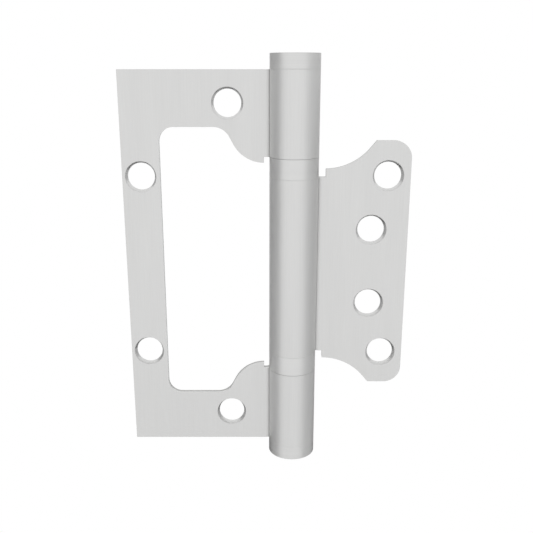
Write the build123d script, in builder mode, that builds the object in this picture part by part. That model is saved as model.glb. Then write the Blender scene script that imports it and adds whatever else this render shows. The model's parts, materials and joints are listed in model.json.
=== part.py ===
from build123d import *

import os
from math import acos, asin, atan2, cos, degrees, radians, sin, sqrt

# A ball-bearing flush hinge, open flat. All sizes are in millimetres.
# The origin is midway between the two outer screws of the outer leaf, on its back face.
# Z runs up along the pin, X across the leaves and Y out of their back faces.
# Reaches are measured across from the pin, and heights up and down from mid-height.

# Sheet and barrel
sheet = 1.5
barrel_radius = 6.28
bend_radius = 2.0
seam_gap = 0.1

# Outer leaf
outer_height = 100.0
outer_reach = 43.6
rim_width = 9.6
arm_width = 13.83
window_far_corner = 3.7
window_near_corner = 4.5
shoulder_drop = 8.87
shoulder_radius = 8.7
shoulder_slope = 62.0
outer_relief_width = 0.4
relief_depth = 1.45

# Inner leaf, set in from the window that it nests in
nest_edge_gap = 4.4
nest_end_gap = 3.35
nest_shoulder_gap = 1.6
inner_relief_width = 0.8
inner_shoulder_radius = 14.5
inner_shoulder_slope = 50.5
inner_peak_radius = 0.8
inner_corner = 4.4

# Screw holes, which narrow towards the back face and end in a short straight land
screw_hole_radius = 3.45
screw_mouth_radius = 3.97
hole_land = 0.3
rim_screw_margin = 4.7
rim_screw_spacing = 47.5
arm_screw_reach = 16.7
arm_screw_margin = 8.05
corner_screw_side_margin = 5.7
corner_screw_end_margin = 8.82
middle_screw_side_margin = 9.5
middle_screw_spacing = 20.0

# Pin, sleeves and caps
sleeve_wall = 1.23
sleeve_clearance = 0.05
sleeve_inset = 0.2
cap_height = 3.8
cap_end_wall = 1.4
pin_end_gap = 0.2
pin_chamfer = 0.5

# Ball bearings between the knuckles
bearing_height = 5.1
shell_wall = 0.4
turning_gap = 0.05
race_bore_clearance = 0.15
race_rim_clearance = 0.1
race_gap = 0.9
ball_radius = 0.75
ball_sides = 8
ball_clearance = 0.05
ball_count = 6
cage_thickness = 0.6
cage_side_clearance = 0.1
pocket_clearance = 0.05

# Places that follow from the sizes
pin_x = outer_reach - rim_screw_margin
pin_y = -sheet / 2
outer_half = outer_height / 2
window_half = outer_half - arm_width
window_reach = outer_reach - rim_width
outer_shoulder = window_half - shoulder_drop
outer_knuckle_end = outer_shoulder + relief_depth
inner_half = window_half - nest_end_gap
inner_reach = window_reach - nest_edge_gap
inner_shoulder = outer_shoulder - nest_shoulder_gap
inner_knuckle_end = outer_knuckle_end - bearing_height
knuckle_bore = barrel_radius - sheet
pin_radius = knuckle_bore - sleeve_wall - sleeve_clearance

# The rolled knuckle: the middle of the sheet swings off the leaf's plane by one bend
# and is then rolled round the pin, until its cut end nearly meets the bend again
roll_radius = barrel_radius - sheet / 2
bend_to_pin = roll_radius + bend_radius
bend_start = sqrt(bend_to_pin**2 - bend_radius**2)
bend_turn = 90 - degrees(asin(bend_radius / bend_to_pin))
seam_reach = bend_radius + sheet / 2 + seam_gap
seam_cosine = (bend_to_pin**2 + barrel_radius**2 - seam_reach**2) / (2 * bend_to_pin * barrel_radius)
roll_turn = 360 - degrees(acos(seam_cosine))
outer_root = bend_start + outer_relief_width
inner_root = bend_start + inner_relief_width

# Leaf sketches stand in the back face with X counted from the pin, and grow towards the front
back_plane = Plane(origin=(pin_x, 0, 0), x_dir=(1, 0, 0), z_dir=(0, -1, 0))
front_plane = back_plane.offset(sheet)
pin_axis = Axis((pin_x, pin_y, 0), (0, 0, 1))
hole_cone = 2 * degrees(atan2(screw_mouth_radius - screw_hole_radius, sheet - hole_land))


def around_pin(height):
    """The level plane at a height, centred on the pin."""
    return Plane(origin=(pin_x, pin_y, height))


def beside_pin():
    """The upright plane through the pin, for profiles that are turned about it."""
    return Plane(origin=(pin_x, pin_y, 0), x_dir=(1, 0, 0), z_dir=(0, -1, 0))


def knuckle_section(plane, root):
    """The sheet seen edge-on, from the leaf's root at -X through the bend and round the pin."""
    with BuildSketch(plane) as section:
        with BuildLine():
            flat = Line((-root, 0), (-bend_start, 0))
            bend = JernArc(flat @ 1, flat % 1, bend_radius, bend_turn)
            JernArc(bend @ 1, bend % 1, roll_radius, -roll_turn)
        trace(line_width=sheet)
    return section.sketch


os.makedirs("parts", exist_ok=True)


def save(piece, name):
    """Label a finished piece and write it under its name."""
    piece.part.label = name
    export_step(piece.part, f"parts/{name}.step")


# Outer leaf: a plate with the window blanked out, and a knuckle rolled from each arm
sweep_rise = shoulder_radius * (1 - cos(radians(shoulder_slope)))
crown_drop = window_near_corner * (1 - cos(radians(shoulder_slope)))
slope_height = (window_half - crown_drop) - (outer_shoulder + sweep_rise)
slope_length = slope_height / sin(radians(shoulder_slope))
with BuildPart() as outer_leaf:
    with BuildSketch(back_plane):
        with Locations((-outer_reach, 0)):
            Rectangle(outer_reach - outer_root, outer_height, align=(Align.MIN, Align.CENTER))
        with BuildLine():
            mouth = Line((-outer_root, 0), (-outer_root, outer_shoulder))
            sweep_in = JernArc(mouth @ 1, (-1, 0), shoulder_radius, -shoulder_slope)
            slope = PolarLine(sweep_in @ 1, slope_length, direction=sweep_in % 1)
            crown = JernArc(slope @ 1, slope % 1, window_near_corner, shoulder_slope)
            top = Line(crown @ 1, (window_far_corner - window_reach, window_half))
            corner = JernArc(top @ 1, top % 1, window_far_corner, 90)
            Line(corner @ 1, (-window_reach, 0))
            mirror(about=Plane.XZ)
        make_face(mode=Mode.SUBTRACT)
    extrude(amount=sheet)
    for height in (outer_knuckle_end, -outer_half):
        extrude(knuckle_section(around_pin(height), outer_root), amount=outer_half - outer_knuckle_end)
    with Locations(front_plane):
        with Locations((rim_screw_margin - outer_reach, 0)):
            with GridLocations(0, rim_screw_spacing, 1, 2):
                CounterSinkHole(screw_hole_radius, screw_mouth_radius, counter_sink_angle=hole_cone)
        with Locations((-arm_screw_reach, 0)):
            with GridLocations(0, outer_height - 2 * arm_screw_margin, 1, 2):
                CounterSinkHole(screw_hole_radius, screw_mouth_radius, counter_sink_angle=hole_cone)
save(outer_leaf, "outer_leaf")

# Inner leaf: the blank from the window with its edges set in, and one knuckle in the middle
inner_sweep_rise = inner_shoulder_radius * (1 - cos(radians(inner_shoulder_slope)))
inner_slope_height = inner_half - inner_shoulder - inner_sweep_rise
inner_slope_length = inner_slope_height / sin(radians(inner_shoulder_slope))
with BuildPart() as inner_leaf:
    with BuildSketch(back_plane) as blank:
        with BuildLine():
            root = Line((inner_root, 0), (inner_root, inner_shoulder))
            sweep_out = JernArc(root @ 1, (1, 0), inner_shoulder_radius, inner_shoulder_slope)
            climb = PolarLine(sweep_out @ 1, inner_slope_length, direction=sweep_out % 1)
            end_edge = Line(climb @ 1, (inner_reach, inner_half))
            Line(end_edge @ 1, (inner_reach, 0))
            mirror(about=Plane.XZ)
        make_face()
        far_corners = blank.vertices().group_by(Axis.X)[-1]
        peaks = blank.vertices().group_by(Axis.X)[-2]
        fillet(far_corners, inner_corner)
        fillet(peaks, inner_peak_radius)
    extrude(amount=sheet)
    turned_plane = Plane(origin=(pin_x, pin_y, inner_knuckle_end), x_dir=(-1, 0, 0), z_dir=(0, 0, -1))
    extrude(knuckle_section(turned_plane, inner_root), amount=2 * inner_knuckle_end)
    with Locations(front_plane):
        with Locations((inner_reach - corner_screw_side_margin, 0)):
            with GridLocations(0, 2 * (inner_half - corner_screw_end_margin), 1, 2):
                CounterSinkHole(screw_hole_radius, screw_mouth_radius, counter_sink_angle=hole_cone)
        with Locations((inner_reach - middle_screw_side_margin, 0)):
            with GridLocations(0, middle_screw_spacing, 1, 2):
                CounterSinkHole(screw_hole_radius, screw_mouth_radius, counter_sink_angle=hole_cone)
save(inner_leaf, "inner_leaf")

# Pin: turned bar that ends inside both caps
pin_half = outer_half + cap_height - cap_end_wall - pin_end_gap
with BuildPart() as hinge_pin:
    with BuildSketch(around_pin(-pin_half)):
        Circle(pin_radius)
    extrude(amount=2 * pin_half)
    chamfer(hinge_pin.edges().filter_by(GeomType.CIRCLE), pin_chamfer)
save(hinge_pin, "hinge_pin")

# Caps: turned discs with a blind bore for the pin, seated on the ends of the barrel
for name, side in (("top_cap", 1), ("bottom_cap", -1)):
    with BuildPart() as cap:
        with BuildSketch(around_pin(side * outer_half)):
            Circle(barrel_radius)
        extrude(amount=side * cap_height)
        with BuildSketch(around_pin(side * outer_half)):
            Circle(pin_radius)
        extrude(amount=side * (cap_height - cap_end_wall), mode=Mode.SUBTRACT)
    save(cap, name)

# Sleeves: nylon tubes pressed into the knuckles, in which the pin turns
sleeve_spans = {
    "upper_sleeve": (outer_knuckle_end, outer_half),
    "middle_sleeve": (-inner_knuckle_end, inner_knuckle_end),
    "lower_sleeve": (-outer_half, -outer_knuckle_end),
}
for name, (low, high) in sleeve_spans.items():
    with BuildPart() as sleeve:
        with BuildSketch(around_pin(low + sleeve_inset)):
            Circle(knuckle_bore)
            Circle(pin_radius + sleeve_clearance, mode=Mode.SUBTRACT)
        extrude(amount=high - low - 2 * sleeve_inset)
    save(sleeve, name)

# Bearings: one in each gap between knuckles, the lower one the upper one's mirror image.
# The shell and the turning race sit on the inner leaf's knuckle, the fixed race on the outer leaf's.
# Heights are counted from mid-height, so a side of -1 turns a bearing upside down
shell_bore = barrel_radius - shell_wall
race_bore = pin_radius + race_bore_clearance
fixed_race_rim = shell_bore - race_rim_clearance
pitch_radius = (race_bore + fixed_race_rim) / 2
race_thickness = (bearing_height - race_gap) / 2
turning_face = inner_knuckle_end + race_thickness
fixed_face = turning_face + race_gap
ball_height = (turning_face + fixed_face) / 2
groove_reach = (ball_radius + ball_clearance) * sqrt(2)
pocket_width = 2 * (ball_radius + pocket_clearance)
shell_height = bearing_height - turning_gap

for level, side in (("upper", 1), ("lower", -1)):
    ball_plane = around_pin(side * ball_height)

    with BuildPart() as shell:
        with BuildSketch(around_pin(side * inner_knuckle_end)):
            Circle(barrel_radius)
            Circle(shell_bore, mode=Mode.SUBTRACT)
        extrude(amount=side * shell_height)
    save(shell, f"{level}_shell")

    race_spans = {
        f"{level}_turning_race": (shell_bore, inner_knuckle_end, turning_face),
        f"{level}_fixed_race": (fixed_race_rim, fixed_face, outer_knuckle_end),
    }
    for name, (rim, near, far) in race_spans.items():
        with BuildPart() as race:
            with BuildSketch(beside_pin()):
                with Locations(((race_bore + rim) / 2, side * (near + far) / 2)):
                    Rectangle(rim - race_bore, far - near)
                with Locations((pitch_radius, side * ball_height)):
                    RegularPolygon(groove_reach, 4, mode=Mode.SUBTRACT)
            revolve(axis=pin_axis)
        save(race, name)

    with BuildPart() as cage:
        with BuildSketch(ball_plane.offset(-cage_thickness / 2)):
            Circle(shell_bore - cage_side_clearance)
            Circle(pin_radius + cage_side_clearance, mode=Mode.SUBTRACT)
            with PolarLocations(pitch_radius, ball_count):
                Rectangle(pocket_width, pocket_width, mode=Mode.SUBTRACT)
        extrude(amount=cage_thickness)
    save(cage, f"{level}_cage")

    # Each ball has flat facets: it is what three crossed bars with eight sides have in common
    for number, spot in enumerate(PolarLocations(pitch_radius, ball_count), start=1):
        level_plane = Plane(ball_plane.location * spot)
        middle, outwards, along = level_plane.origin, level_plane.x_dir, level_plane.y_dir
        bar_planes = (
            (level_plane, Mode.ADD),
            (Plane(origin=middle, x_dir=outwards, z_dir=along), Mode.INTERSECT),
            (Plane(origin=middle, x_dir=along, z_dir=outwards), Mode.INTERSECT),
        )
        with BuildPart() as ball:
            for bar_plane, mode in bar_planes:
                with BuildSketch(bar_plane):
                    RegularPolygon(ball_radius, ball_sides, major_radius=False, rotation=180 / ball_sides)
                extrude(amount=ball_radius, both=True, mode=mode)
        save(ball, f"{level}_ball_{number}")
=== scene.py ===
import json
import math

import bpy
from mathutils import Matrix, Vector


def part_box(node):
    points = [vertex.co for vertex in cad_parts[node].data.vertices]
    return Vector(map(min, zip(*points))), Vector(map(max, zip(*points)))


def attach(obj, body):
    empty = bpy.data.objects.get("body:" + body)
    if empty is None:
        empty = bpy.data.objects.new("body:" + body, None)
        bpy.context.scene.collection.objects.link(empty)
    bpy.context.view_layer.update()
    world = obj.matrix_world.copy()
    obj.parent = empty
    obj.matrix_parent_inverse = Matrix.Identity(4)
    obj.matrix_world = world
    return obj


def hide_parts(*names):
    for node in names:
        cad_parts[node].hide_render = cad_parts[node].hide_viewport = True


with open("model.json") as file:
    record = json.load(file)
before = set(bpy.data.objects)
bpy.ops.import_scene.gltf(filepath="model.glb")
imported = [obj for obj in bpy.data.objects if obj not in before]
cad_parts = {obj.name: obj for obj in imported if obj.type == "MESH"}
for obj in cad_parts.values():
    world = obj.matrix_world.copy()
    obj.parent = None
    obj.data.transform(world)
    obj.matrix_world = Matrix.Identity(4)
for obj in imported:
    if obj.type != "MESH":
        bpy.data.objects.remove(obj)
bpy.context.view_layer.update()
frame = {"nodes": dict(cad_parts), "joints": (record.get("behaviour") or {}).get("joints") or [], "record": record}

# Outer leaf: the larger of two leaves blanked from satin stainless sheet, 1.5 mm thick, with a window
# for the other one and a knuckle rolled from each arm. The sheet's grain runs along the pin, its cut
# edges are burnished in front and torn behind, and its screw holes are countersunk from the front
mm = 0.001
leaf_edge = 0.06 * mm
pin_place = Vector(frame["joints"][0]["pos_m"])
satin_light = (0.725, 0.725, 0.72)
satin_dark = (0.665, 0.665, 0.66)

# Grain for any finish: fine streaks and broad ones, both along the vector's least stretched way
broad_stretch = (0.06, 0.06, 0.35)
broad_share = 0.4
faint_streak, strong_streak = 0.3, 0.7
scratch_depth = 0.02 * mm
streaks = bpy.data.node_groups.new("streaks", "ShaderNodeTree")
for name, kind, value in (
    ("Vector", "NodeSocketVector", (0, 0, 0)),
    ("Light", "NodeSocketColor", (0.7, 0.7, 0.7, 1)),
    ("Dark", "NodeSocketColor", (0.6, 0.6, 0.6, 1)),
    ("Smooth", "NodeSocketFloat", 0.3),
    ("Rough", "NodeSocketFloat", 0.5),
    ("Depth", "NodeSocketFloat", 0.2),
):
    socket = streaks.interface.new_socket(name, in_out="INPUT", socket_type=kind)
    socket.default_value = value
for name, kind in (
    ("Color", "NodeSocketColor"),
    ("Roughness", "NodeSocketFloat"),
    ("Normal", "NodeSocketVector"),
):
    streaks.interface.new_socket(name, in_out="OUTPUT", socket_type=kind)
group_in = streaks.nodes.new("NodeGroupInput")
group_out = streaks.nodes.new("NodeGroupOutput")
fine = streaks.nodes.new("ShaderNodeTexNoise")
fine.inputs["Scale"].default_value = 1.0
fine.inputs["Detail"].default_value = 4.0
fine.inputs["Roughness"].default_value = 0.6
broad_place = streaks.nodes.new("ShaderNodeMapping")
broad_place.inputs["Scale"].default_value = broad_stretch
broad = streaks.nodes.new("ShaderNodeTexNoise")
broad.inputs["Scale"].default_value = 1.0
broad.inputs["Detail"].default_value = 2.0
blend = streaks.nodes.new("ShaderNodeMix")
blend.inputs["Factor"].default_value = broad_share
tone = streaks.nodes.new("ShaderNodeMapRange")
tone.inputs["From Min"].default_value = faint_streak
tone.inputs["From Max"].default_value = strong_streak
colour = streaks.nodes.new("ShaderNodeMix")
colour.data_type = "RGBA"
darker, lighter, coloured = colour.inputs[6], colour.inputs[7], colour.outputs[2]
sheen = streaks.nodes.new("ShaderNodeMix")
scratches = streaks.nodes.new("ShaderNodeBump")
scratches.inputs["Distance"].default_value = scratch_depth
for start, end in (
    (group_in.outputs["Vector"], fine.inputs["Vector"]),
    (group_in.outputs["Vector"], broad_place.inputs["Vector"]),
    (broad_place.outputs["Vector"], broad.inputs["Vector"]),
    (fine.outputs["Fac"], blend.inputs["A"]),
    (broad.outputs["Fac"], blend.inputs["B"]),
    (blend.outputs["Result"], tone.inputs["Value"]),
    (tone.outputs["Result"], colour.inputs["Factor"]),
    (group_in.outputs["Dark"], darker),
    (group_in.outputs["Light"], lighter),
    (tone.outputs["Result"], sheen.inputs["Factor"]),
    (group_in.outputs["Smooth"], sheen.inputs["A"]),
    (group_in.outputs["Rough"], sheen.inputs["B"]),
    (fine.outputs["Fac"], scratches.inputs["Height"]),
    (group_in.outputs["Depth"], scratches.inputs["Strength"]),
    (coloured, group_out.inputs["Color"]),
    (sheen.outputs["Result"], group_out.inputs["Roughness"]),
    (scratches.outputs["Normal"], group_out.inputs["Normal"]),
):
    streaks.links.new(start, end)


def finish_material(name, grain, light, dark, smooth, rough, depth, metallic=1.0):
    """A material with streaks that grain, counted per millimetre, stretches across and along."""
    material = bpy.data.materials.new(name)
    material.use_nodes = True
    tree = material.node_tree
    shader = tree.nodes["Principled BSDF"]
    shader.inputs["Metallic"].default_value = metallic
    place = tree.nodes.new("ShaderNodeTexCoord")
    stretch = tree.nodes.new("ShaderNodeMapping")
    stretch.name = "stretch"
    stretch.inputs["Scale"].default_value = [value / mm for value in grain]
    finish = tree.nodes.new("ShaderNodeGroup")
    finish.name = "finish"
    finish.node_tree = streaks
    finish.inputs["Light"].default_value = (*light, 1)
    finish.inputs["Dark"].default_value = (*dark, 1)
    finish.inputs["Smooth"].default_value = smooth
    finish.inputs["Rough"].default_value = rough
    finish.inputs["Depth"].default_value = depth
    tree.links.new(place.outputs["Object"], stretch.inputs["Vector"])
    tree.links.new(stretch.outputs["Vector"], finish.inputs["Vector"])
    tree.links.new(finish.outputs["Color"], shader.inputs["Base Color"])
    tree.links.new(finish.outputs["Roughness"], shader.inputs["Roughness"])
    tree.links.new(finish.outputs["Normal"], shader.inputs["Normal"])
    return material


leaf_steel = finish_material(
    "leaf_steel", grain=(4, 4, 0.08), light=satin_light, dark=satin_dark,
    smooth=0.40, rough=0.50, depth=0.15,
)
hole_steel = finish_material(
    "hole_steel", grain=(0.3, 9, 0.3), light=(0.72, 0.72, 0.715), dark=(0.64, 0.64, 0.635),
    smooth=0.32, rough=0.42, depth=0.2,
)
edge_steel = finish_material(
    "edge_steel", grain=(3, 0.6, 3), light=(0.58, 0.58, 0.57), dark=(0.42, 0.42, 0.415),
    smooth=0.45, rough=0.65, depth=0.5,
)

# The cut edge is torn behind. In front it has the band that the punch slid past, smooth and a
# little uneven in width
band_colour = (0.66, 0.66, 0.655, 1)
band_roughness = 0.28
band_end = -0.85 * mm
band_fade = 0.04 * mm
band_wander = 0.35 * mm
band_waves = 0.5 / mm
tree = edge_steel.node_tree
torn = tree.nodes["finish"]
shader = tree.nodes["Principled BSDF"]
place = tree.nodes["Texture Coordinate"]
depth = tree.nodes.new("ShaderNodeSeparateXYZ")
wander = tree.nodes.new("ShaderNodeTexNoise")
wander.inputs["Scale"].default_value = band_waves
wander.inputs["Detail"].default_value = 3.0
uneven = tree.nodes.new("ShaderNodeMath")
uneven.operation = "MULTIPLY_ADD"
uneven.inputs[1].default_value = band_wander
band = tree.nodes.new("ShaderNodeMapRange")
band.inputs["From Min"].default_value = band_end + band_wander / 2 - band_fade
band.inputs["From Max"].default_value = band_end + band_wander / 2 + band_fade
edge_colour = tree.nodes.new("ShaderNodeMix")
edge_colour.data_type = "RGBA"
smooth_colour, torn_colour = edge_colour.inputs[6], edge_colour.inputs[7]
mixed_colour = edge_colour.outputs[2]
smooth_colour.default_value = band_colour
edge_sheen = tree.nodes.new("ShaderNodeMix")
edge_sheen.inputs["A"].default_value = band_roughness
for start, end in (
    (place.outputs["Object"], depth.inputs["Vector"]),
    (place.outputs["Object"], wander.inputs["Vector"]),
    (wander.outputs["Fac"], uneven.inputs[0]),
    (depth.outputs["Y"], uneven.inputs[2]),
    (uneven.outputs["Value"], band.inputs["Value"]),
    (band.outputs["Result"], edge_colour.inputs["Factor"]),
    (band.outputs["Result"], edge_sheen.inputs["Factor"]),
    (torn.outputs["Color"], torn_colour),
    (torn.outputs["Roughness"], edge_sheen.inputs["B"]),
    (mixed_colour, shader.inputs["Base Color"]),
    (edge_sheen.outputs["Result"], shader.inputs["Roughness"]),
):
    tree.links.new(start, end)

# In a copy, corners closer than the merge reach become one, and so do faces that are this level.
# Edges sharper than the sharp angle get their round
merge_reach = 0.0005 * mm
level_angle = math.radians(0.5)
sharp_angle = math.radians(40)
crease_angle = math.radians(50)


def finished_copy(name, edge):
    """A copy of a CAD piece whose sharp edges are broken by a small round, to stand for it."""
    mesh = frame["nodes"][name].data.copy()
    mesh.materials.clear()
    piece = bpy.data.objects.new(f"{name}_finish", mesh)
    bpy.context.collection.objects.link(piece)
    bpy.ops.object.select_all(action="DESELECT")
    piece.select_set(True)
    bpy.context.view_layer.objects.active = piece
    bpy.ops.mesh.customdata_custom_splitnormals_clear()
    bpy.ops.object.mode_set(mode="EDIT")
    bpy.ops.mesh.select_all(action="SELECT")
    bpy.ops.mesh.remove_doubles(threshold=merge_reach)
    bpy.ops.mesh.dissolve_limited(angle_limit=level_angle)
    bpy.ops.object.mode_set(mode="OBJECT")
    bevel = piece.modifiers.new("edge", "BEVEL")
    bevel.width = edge
    bevel.segments = 2
    bevel.angle_limit = sharp_angle
    bpy.ops.object.modifier_apply(modifier=bevel.name)
    bpy.ops.object.shade_smooth_by_angle(angle=crease_angle)
    flats = piece.modifiers.new("flats", "WEIGHTED_NORMAL")
    flats.weight = 100
    flats.keep_sharp = True
    bpy.ops.object.modifier_apply(modifier=flats.name)
    return piece


def screw_places(leaf):
    """The middles of a leaf's screw holes, across and up."""
    places = []
    for mount in frame["record"]["mounts"]:
        if mount["name"].startswith(leaf) and mount["kind"] == "bolt_pattern":
            across, _, middle = mount["pos_m"]
            half_spacing = mount["dims"]["spacing_y_mm"] * mm / 2
            places += [(across, middle - half_spacing), (across, middle + half_spacing)]
    return places


# The faces of a leaf are told apart by their place and by where they look: squarely out of the
# sheet's front or back, or sideways, or out of a knuckle's end
knuckle_root = 7.9 * mm
hole_mouth = 4.2 * mm
square = 0.97
sideways = 0.7


def sort_faces(leaf, holes):
    """Gives the sheet's cut edges and its screw holes their own steels."""
    for material in (leaf_steel, edge_steel, hole_steel):
        leaf.data.materials.append(material)
    edge_index = leaf.data.materials.find(edge_steel.name)
    hole_index = leaf.data.materials.find(hole_steel.name)
    for face in leaf.data.polygons:
        on_plate = abs(face.center.x - pin_place.x) > knuckle_root
        nearest = min(math.hypot(face.center.x - x, face.center.z - z) for x, z in holes)
        if on_plate and nearest < hole_mouth and abs(face.normal.y) < square:
            face.material_index = hole_index
        elif abs(face.normal.z) > sideways or (on_plate and abs(face.normal.y) < sideways):
            face.material_index = edge_index


outer_leaf = finished_copy("outer_leaf", leaf_edge)
sort_faces(outer_leaf, screw_places("outer"))
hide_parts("outer_leaf")
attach(outer_leaf, "outer")

# Inner leaf: the piece that was inside the window, of the same sheet and finish. Its edges are set
# in so that it clears the window, and it has one knuckle, which turns between the outer leaf's two
inner_leaf = finished_copy("inner_leaf", leaf_edge)
sort_faces(inner_leaf, screw_places("inner"))
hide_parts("inner_leaf")
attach(inner_leaf, "inner")

# Sleeves: white nylon tube, matt and a little waxy, cut to length and pressed into the knuckles,
# so that the pin turns in plastic
sleeve_nylon = finish_material(
    "sleeve_nylon", grain=(1, 1, 0.3), light=(0.80, 0.79, 0.75), dark=(0.74, 0.73, 0.69),
    smooth=0.45, rough=0.6, depth=0.2, metallic=0.0,
)


def give_finish(name, material):
    """Gives a CAD piece that is shown as it is its one material."""
    mesh = frame["nodes"][name].data
    mesh.materials.clear()
    mesh.materials.append(material)


for name in ("upper_sleeve", "middle_sleeve", "lower_sleeve"):
    give_finish(name, sleeve_nylon)

# Races: rings of hardened steel with a ground groove for the balls. In each bearing one stands on
# the outer leaf's knuckle and the other turns with the inner leaf
race_light = (0.58, 0.58, 0.59)
race_dark = (0.48, 0.48, 0.49)

# Rings for any turned finish: how far a place is from the pin, and how high up
turned = bpy.data.node_groups.new("turned", "ShaderNodeTree")
turned.interface.new_socket("Vector", in_out="INPUT", socket_type="NodeSocketVector")
turned.interface.new_socket("Reach", in_out="OUTPUT", socket_type="NodeSocketFloat")
turned.interface.new_socket("Height", in_out="OUTPUT", socket_type="NodeSocketFloat")
turned_in = turned.nodes.new("NodeGroupInput")
turned_out = turned.nodes.new("NodeGroupOutput")
from_pin = turned.nodes.new("ShaderNodeVectorMath")
from_pin.operation = "SUBTRACT"
from_pin.inputs[1].default_value = pin_place
flatten = turned.nodes.new("ShaderNodeVectorMath")
flatten.operation = "MULTIPLY"
flatten.inputs[1].default_value = (1, 1, 0)
distance = turned.nodes.new("ShaderNodeVectorMath")
distance.operation = "LENGTH"
split = turned.nodes.new("ShaderNodeSeparateXYZ")
for start, end in (
    (turned_in.outputs["Vector"], from_pin.inputs[0]),
    (from_pin.outputs["Vector"], flatten.inputs[0]),
    (from_pin.outputs["Vector"], split.inputs["Vector"]),
    (flatten.outputs["Vector"], distance.inputs[0]),
    (distance.outputs["Value"], turned_out.inputs["Reach"]),
    (split.outputs["Z"], turned_out.inputs["Height"]),
):
    turned.links.new(start, end)


def turned_material(name, grain, **finish):
    """A metal whose streaks run round the pin, finer for a larger grain."""
    material = finish_material(name, (grain, grain, 0), **finish)
    tree = material.node_tree
    rings = tree.nodes.new("ShaderNodeGroup")
    rings.node_tree = turned
    join = tree.nodes.new("ShaderNodeCombineXYZ")
    tree.links.new(tree.nodes["Texture Coordinate"].outputs["Object"], rings.inputs["Vector"])
    tree.links.new(rings.outputs["Reach"], join.inputs["X"])
    tree.links.new(rings.outputs["Height"], join.inputs["Y"])
    tree.links.new(join.outputs["Vector"], tree.nodes["stretch"].inputs["Vector"])
    return material


race_steel = turned_material(
    "race_steel", grain=9, light=race_light, dark=race_dark,
    smooth=0.15, rough=0.25, depth=0.1,
)
for name in ("upper_fixed_race", "upper_turning_race", "lower_turning_race", "lower_fixed_race"):
    give_finish(name, race_steel)

# Cages: flat rings stamped from brass strip, with a pocket for each ball. They lie loose between
# the races and keep the strip's grain, which crosses them
cage_brass = finish_material(
    "cage_brass", grain=(3, 0.2, 3), light=(0.80, 0.62, 0.32), dark=(0.68, 0.50, 0.24),
    smooth=0.25, rough=0.40, depth=0.2,
)
for name in ("upper_cage", "lower_cage"):
    give_finish(name, cage_brass)

# Balls: polished steel, six in each bearing, one in each pocket of a cage. The CAD model's are
# faceted, so round ones stand for them: one is rounded from a block and copied to every pocket
ball_radius = 0.75 * mm
ball_count = 6
block_cuts = 6
ball_steel = finish_material(
    "ball_steel", grain=(0.5, 0.5, 0.5), light=(0.62, 0.62, 0.63), dark=(0.56, 0.56, 0.57),
    smooth=0.06, rough=0.12, depth=0.02,
)
bpy.ops.object.select_all(action="DESELECT")
bpy.ops.mesh.primitive_cube_add(size=2 * ball_radius)
block = bpy.context.active_object
bpy.ops.object.mode_set(mode="EDIT")
bpy.ops.mesh.select_all(action="SELECT")
bpy.ops.mesh.subdivide(number_cuts=block_cuts)
bpy.ops.object.mode_set(mode="OBJECT")
rounding = block.modifiers.new("rounding", "CAST")
rounding.factor = 1.0
rounding.size = ball_radius
bpy.ops.object.modifier_apply(modifier=rounding.name)
bpy.ops.object.shade_smooth()
block.data.materials.append(ball_steel)
for level in ("upper", "lower"):
    for number in range(1, ball_count + 1):
        name = f"{level}_ball_{number}"
        low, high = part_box(name)
        mesh = block.data.copy()
        mesh.transform(Matrix.Translation((low + high) / 2))
        ball = bpy.data.objects.new(f"{name}_round", mesh)
        bpy.context.collection.objects.link(ball)
        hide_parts(name)
        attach(ball, f"{level}_balls")
bpy.data.objects.remove(block)

# Bearing shells: thin steel rings that close the gaps between the knuckles, turned a little
# smoother than the leaves and pressed on the races that turn with the inner leaf
shell_edge = 0.04 * mm
shell_steel = turned_material(
    "shell_steel", grain=7, light=satin_light, dark=(0.67, 0.67, 0.665),
    smooth=0.36, rough=0.46, depth=0.1,
)
for name in ("upper_shell", "lower_shell"):
    shell = finished_copy(name, shell_edge)
    shell.data.materials.append(shell_steel)
    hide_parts(name)
    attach(shell, "inner")

# Pin: drawn steel bar through all three knuckles, pressed into both caps and ground smooth where
# it turns in the sleeves
pin_steel = turned_material(
    "pin_steel", grain=6, light=(0.60, 0.60, 0.60), dark=(0.52, 0.52, 0.52),
    smooth=0.18, rough=0.28, depth=0.08,
)
give_finish("hinge_pin", pin_steel)

# Caps: turned from steel bar and pressed on the ends of the pin, flush with the knuckles. The tool
# leaves fine rings round them
cap_edge = 0.08 * mm
cap_steel = turned_material(
    "cap_steel", grain=5, light=satin_light, dark=satin_dark,
    smooth=0.38, rough=0.48, depth=0.15,
)
for name in ("top_cap", "bottom_cap"):
    cap = finished_copy(name, cap_edge)
    cap.data.materials.append(cap_steel)
    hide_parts(name)
    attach(cap, "outer")

# Floor: a plain white round table far below the hinge, which takes its soft shadow. To the camera
# and in reflections it glows, more and more from its middle part outwards, so that its rim
# doesn't show against the room
floor_place = (0.029, 0, -0.3)
floor_radius = 0.2
floor_corners = 64
floor_grey = 0.9
middle_radius = 0.08
middle_glow = 0.75
bpy.ops.object.select_all(action="DESELECT")
bpy.ops.mesh.primitive_circle_add(
    vertices=floor_corners, radius=floor_radius, fill_type="NGON", location=floor_place
)
floor = bpy.context.active_object
floor.name = "floor"
floor_white = bpy.data.materials.new("floor_white")
floor_white.use_nodes = True
tree = floor_white.node_tree
tree.nodes.clear()
surface = tree.nodes.new("ShaderNodeOutputMaterial")
matt = tree.nodes.new("ShaderNodeBsdfDiffuse")
matt.inputs["Color"].default_value = (floor_grey, floor_grey, floor_grey, 1)
glow = tree.nodes.new("ShaderNodeEmission")
glow.inputs["Color"].default_value = (1, 1, 1, 1)
light_path = tree.nodes.new("ShaderNodeLightPath")
seen_or_mirrored = tree.nodes.new("ShaderNodeMath")
seen_or_mirrored.operation = "MAXIMUM"
seen_at_all = tree.nodes.new("ShaderNodeMath")
seen_at_all.operation = "MAXIMUM"
place = tree.nodes.new("ShaderNodeTexCoord")
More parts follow.
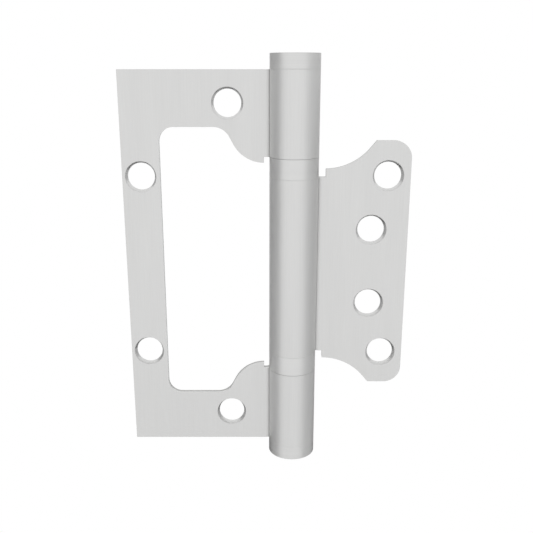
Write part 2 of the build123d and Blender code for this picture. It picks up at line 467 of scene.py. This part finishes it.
reach = tree.nodes.new("ShaderNodeVectorMath")
reach.operation = "LENGTH"
fade = tree.nodes.new("ShaderNodeMapRange")
fade.inputs["From Min"].default_value = middle_radius
fade.inputs["From Max"].default_value = floor_radius
fade.inputs["To Min"].default_value = middle_glow
share = tree.nodes.new("ShaderNodeMath")
share.operation = "MULTIPLY"
mix = tree.nodes.new("ShaderNodeMixShader")
for start, end in (
    (light_path.outputs["Is Camera Ray"], seen_or_mirrored.inputs[0]),
    (light_path.outputs["Is Glossy Ray"], seen_or_mirrored.inputs[1]),
    (seen_or_mirrored.outputs["Value"], seen_at_all.inputs[0]),
    (light_path.outputs["Is Transmission Ray"], seen_at_all.inputs[1]),
    (place.outputs["Object"], reach.inputs[0]),
    (reach.outputs["Value"], fade.inputs["Value"]),
    (seen_at_all.outputs["Value"], share.inputs[0]),
    (fade.outputs["Result"], share.inputs[1]),
    (share.outputs["Value"], mix.inputs["Fac"]),
    (matt.outputs["BSDF"], mix.inputs[1]),
    (glow.outputs["Emission"], mix.inputs[2]),
    (mix.outputs["Shader"], surface.inputs["Surface"]),
):
    tree.links.new(start, end)
floor.data.materials.append(floor_white)

# Room: plain white all round. Grey screens to the left, to the right and behind the floor, which
# the camera doesn't see, are what round metal and the tops of the holes reflect. Each has its lowest
# left front corner, its width (upright once turned) and depth, its turn in degrees and its grey
room = bpy.data.worlds.new("room")
bpy.context.scene.world = room
room.use_nodes = True
room.node_tree.nodes["Background"].inputs["Color"].default_value = (1, 1, 1, 1)
for name, corner, size, turn, grey in (
    ("left_screen", (-0.4, -0.2, -0.8), (1.0, 1.1), 90, 0.54),
    ("right_screen", (0.45, -0.3, -0.8), (0.9, 1.2), 90, 0.70),
    ("low_screen", (-0.3, 0.2, -0.3), (0.65, 0.3), 0, 0.02),
):
    screen_grey = bpy.data.materials.new(f"{name}_grey")
    screen_grey.use_nodes = True
    screen_shader = screen_grey.node_tree.nodes["Principled BSDF"]
    screen_shader.inputs["Base Color"].default_value = (grey, grey, grey, 1)
    screen_shader.inputs["Roughness"].default_value = 1.0
    width = (0, 0, size[0]) if turn else (size[0], 0, 0)
    middle = Vector(corner) + (Vector(width) + Vector((0, size[1], 0))) / 2
    bpy.ops.object.select_all(action="DESELECT")
    bpy.ops.mesh.primitive_plane_add(size=1, location=middle, rotation=(0, math.radians(turn), 0))
    screen = bpy.context.active_object
    screen.name = name
    screen.scale = (*size, 1)
    screen.visible_camera = False
    screen.data.materials.append(screen_grey)

# Lamp: a large soft one above the camera and a little to the left. It is faint beside the white
# room, and only keeps edges that face up from going grey
lamp_place = Vector((-0.25, -0.6, 0.55))
lamp_aim = Vector((0.03, 0, 0))
bpy.ops.object.light_add(type="AREA", location=lamp_place)
lamp = bpy.context.active_object
lamp.data.size = 0.5
lamp.data.energy = 0.1
lamp.rotation_euler = (lamp_aim - lamp_place).to_track_quat("-Z", "Y").to_euler()

# Camera: close in front of the screw side, level with the hinge's upper end, and tilted down so
# that upright edges draw together towards the bottom
camera_place = (0.031894, -0.176272, 0.050138)
camera_tilt = math.radians(74.01)
bpy.ops.object.camera_add(location=camera_place, rotation=(camera_tilt, 0, 0))
camera = bpy.context.active_object
camera.data.sensor_width = 36
camera.data.lens = 46.72
camera.data.shift_y = 0.0005
camera.data.clip_start = 0.01
bpy.context.scene.camera = camera
bpy.context.scene.view_settings.view_transform = "Standard"
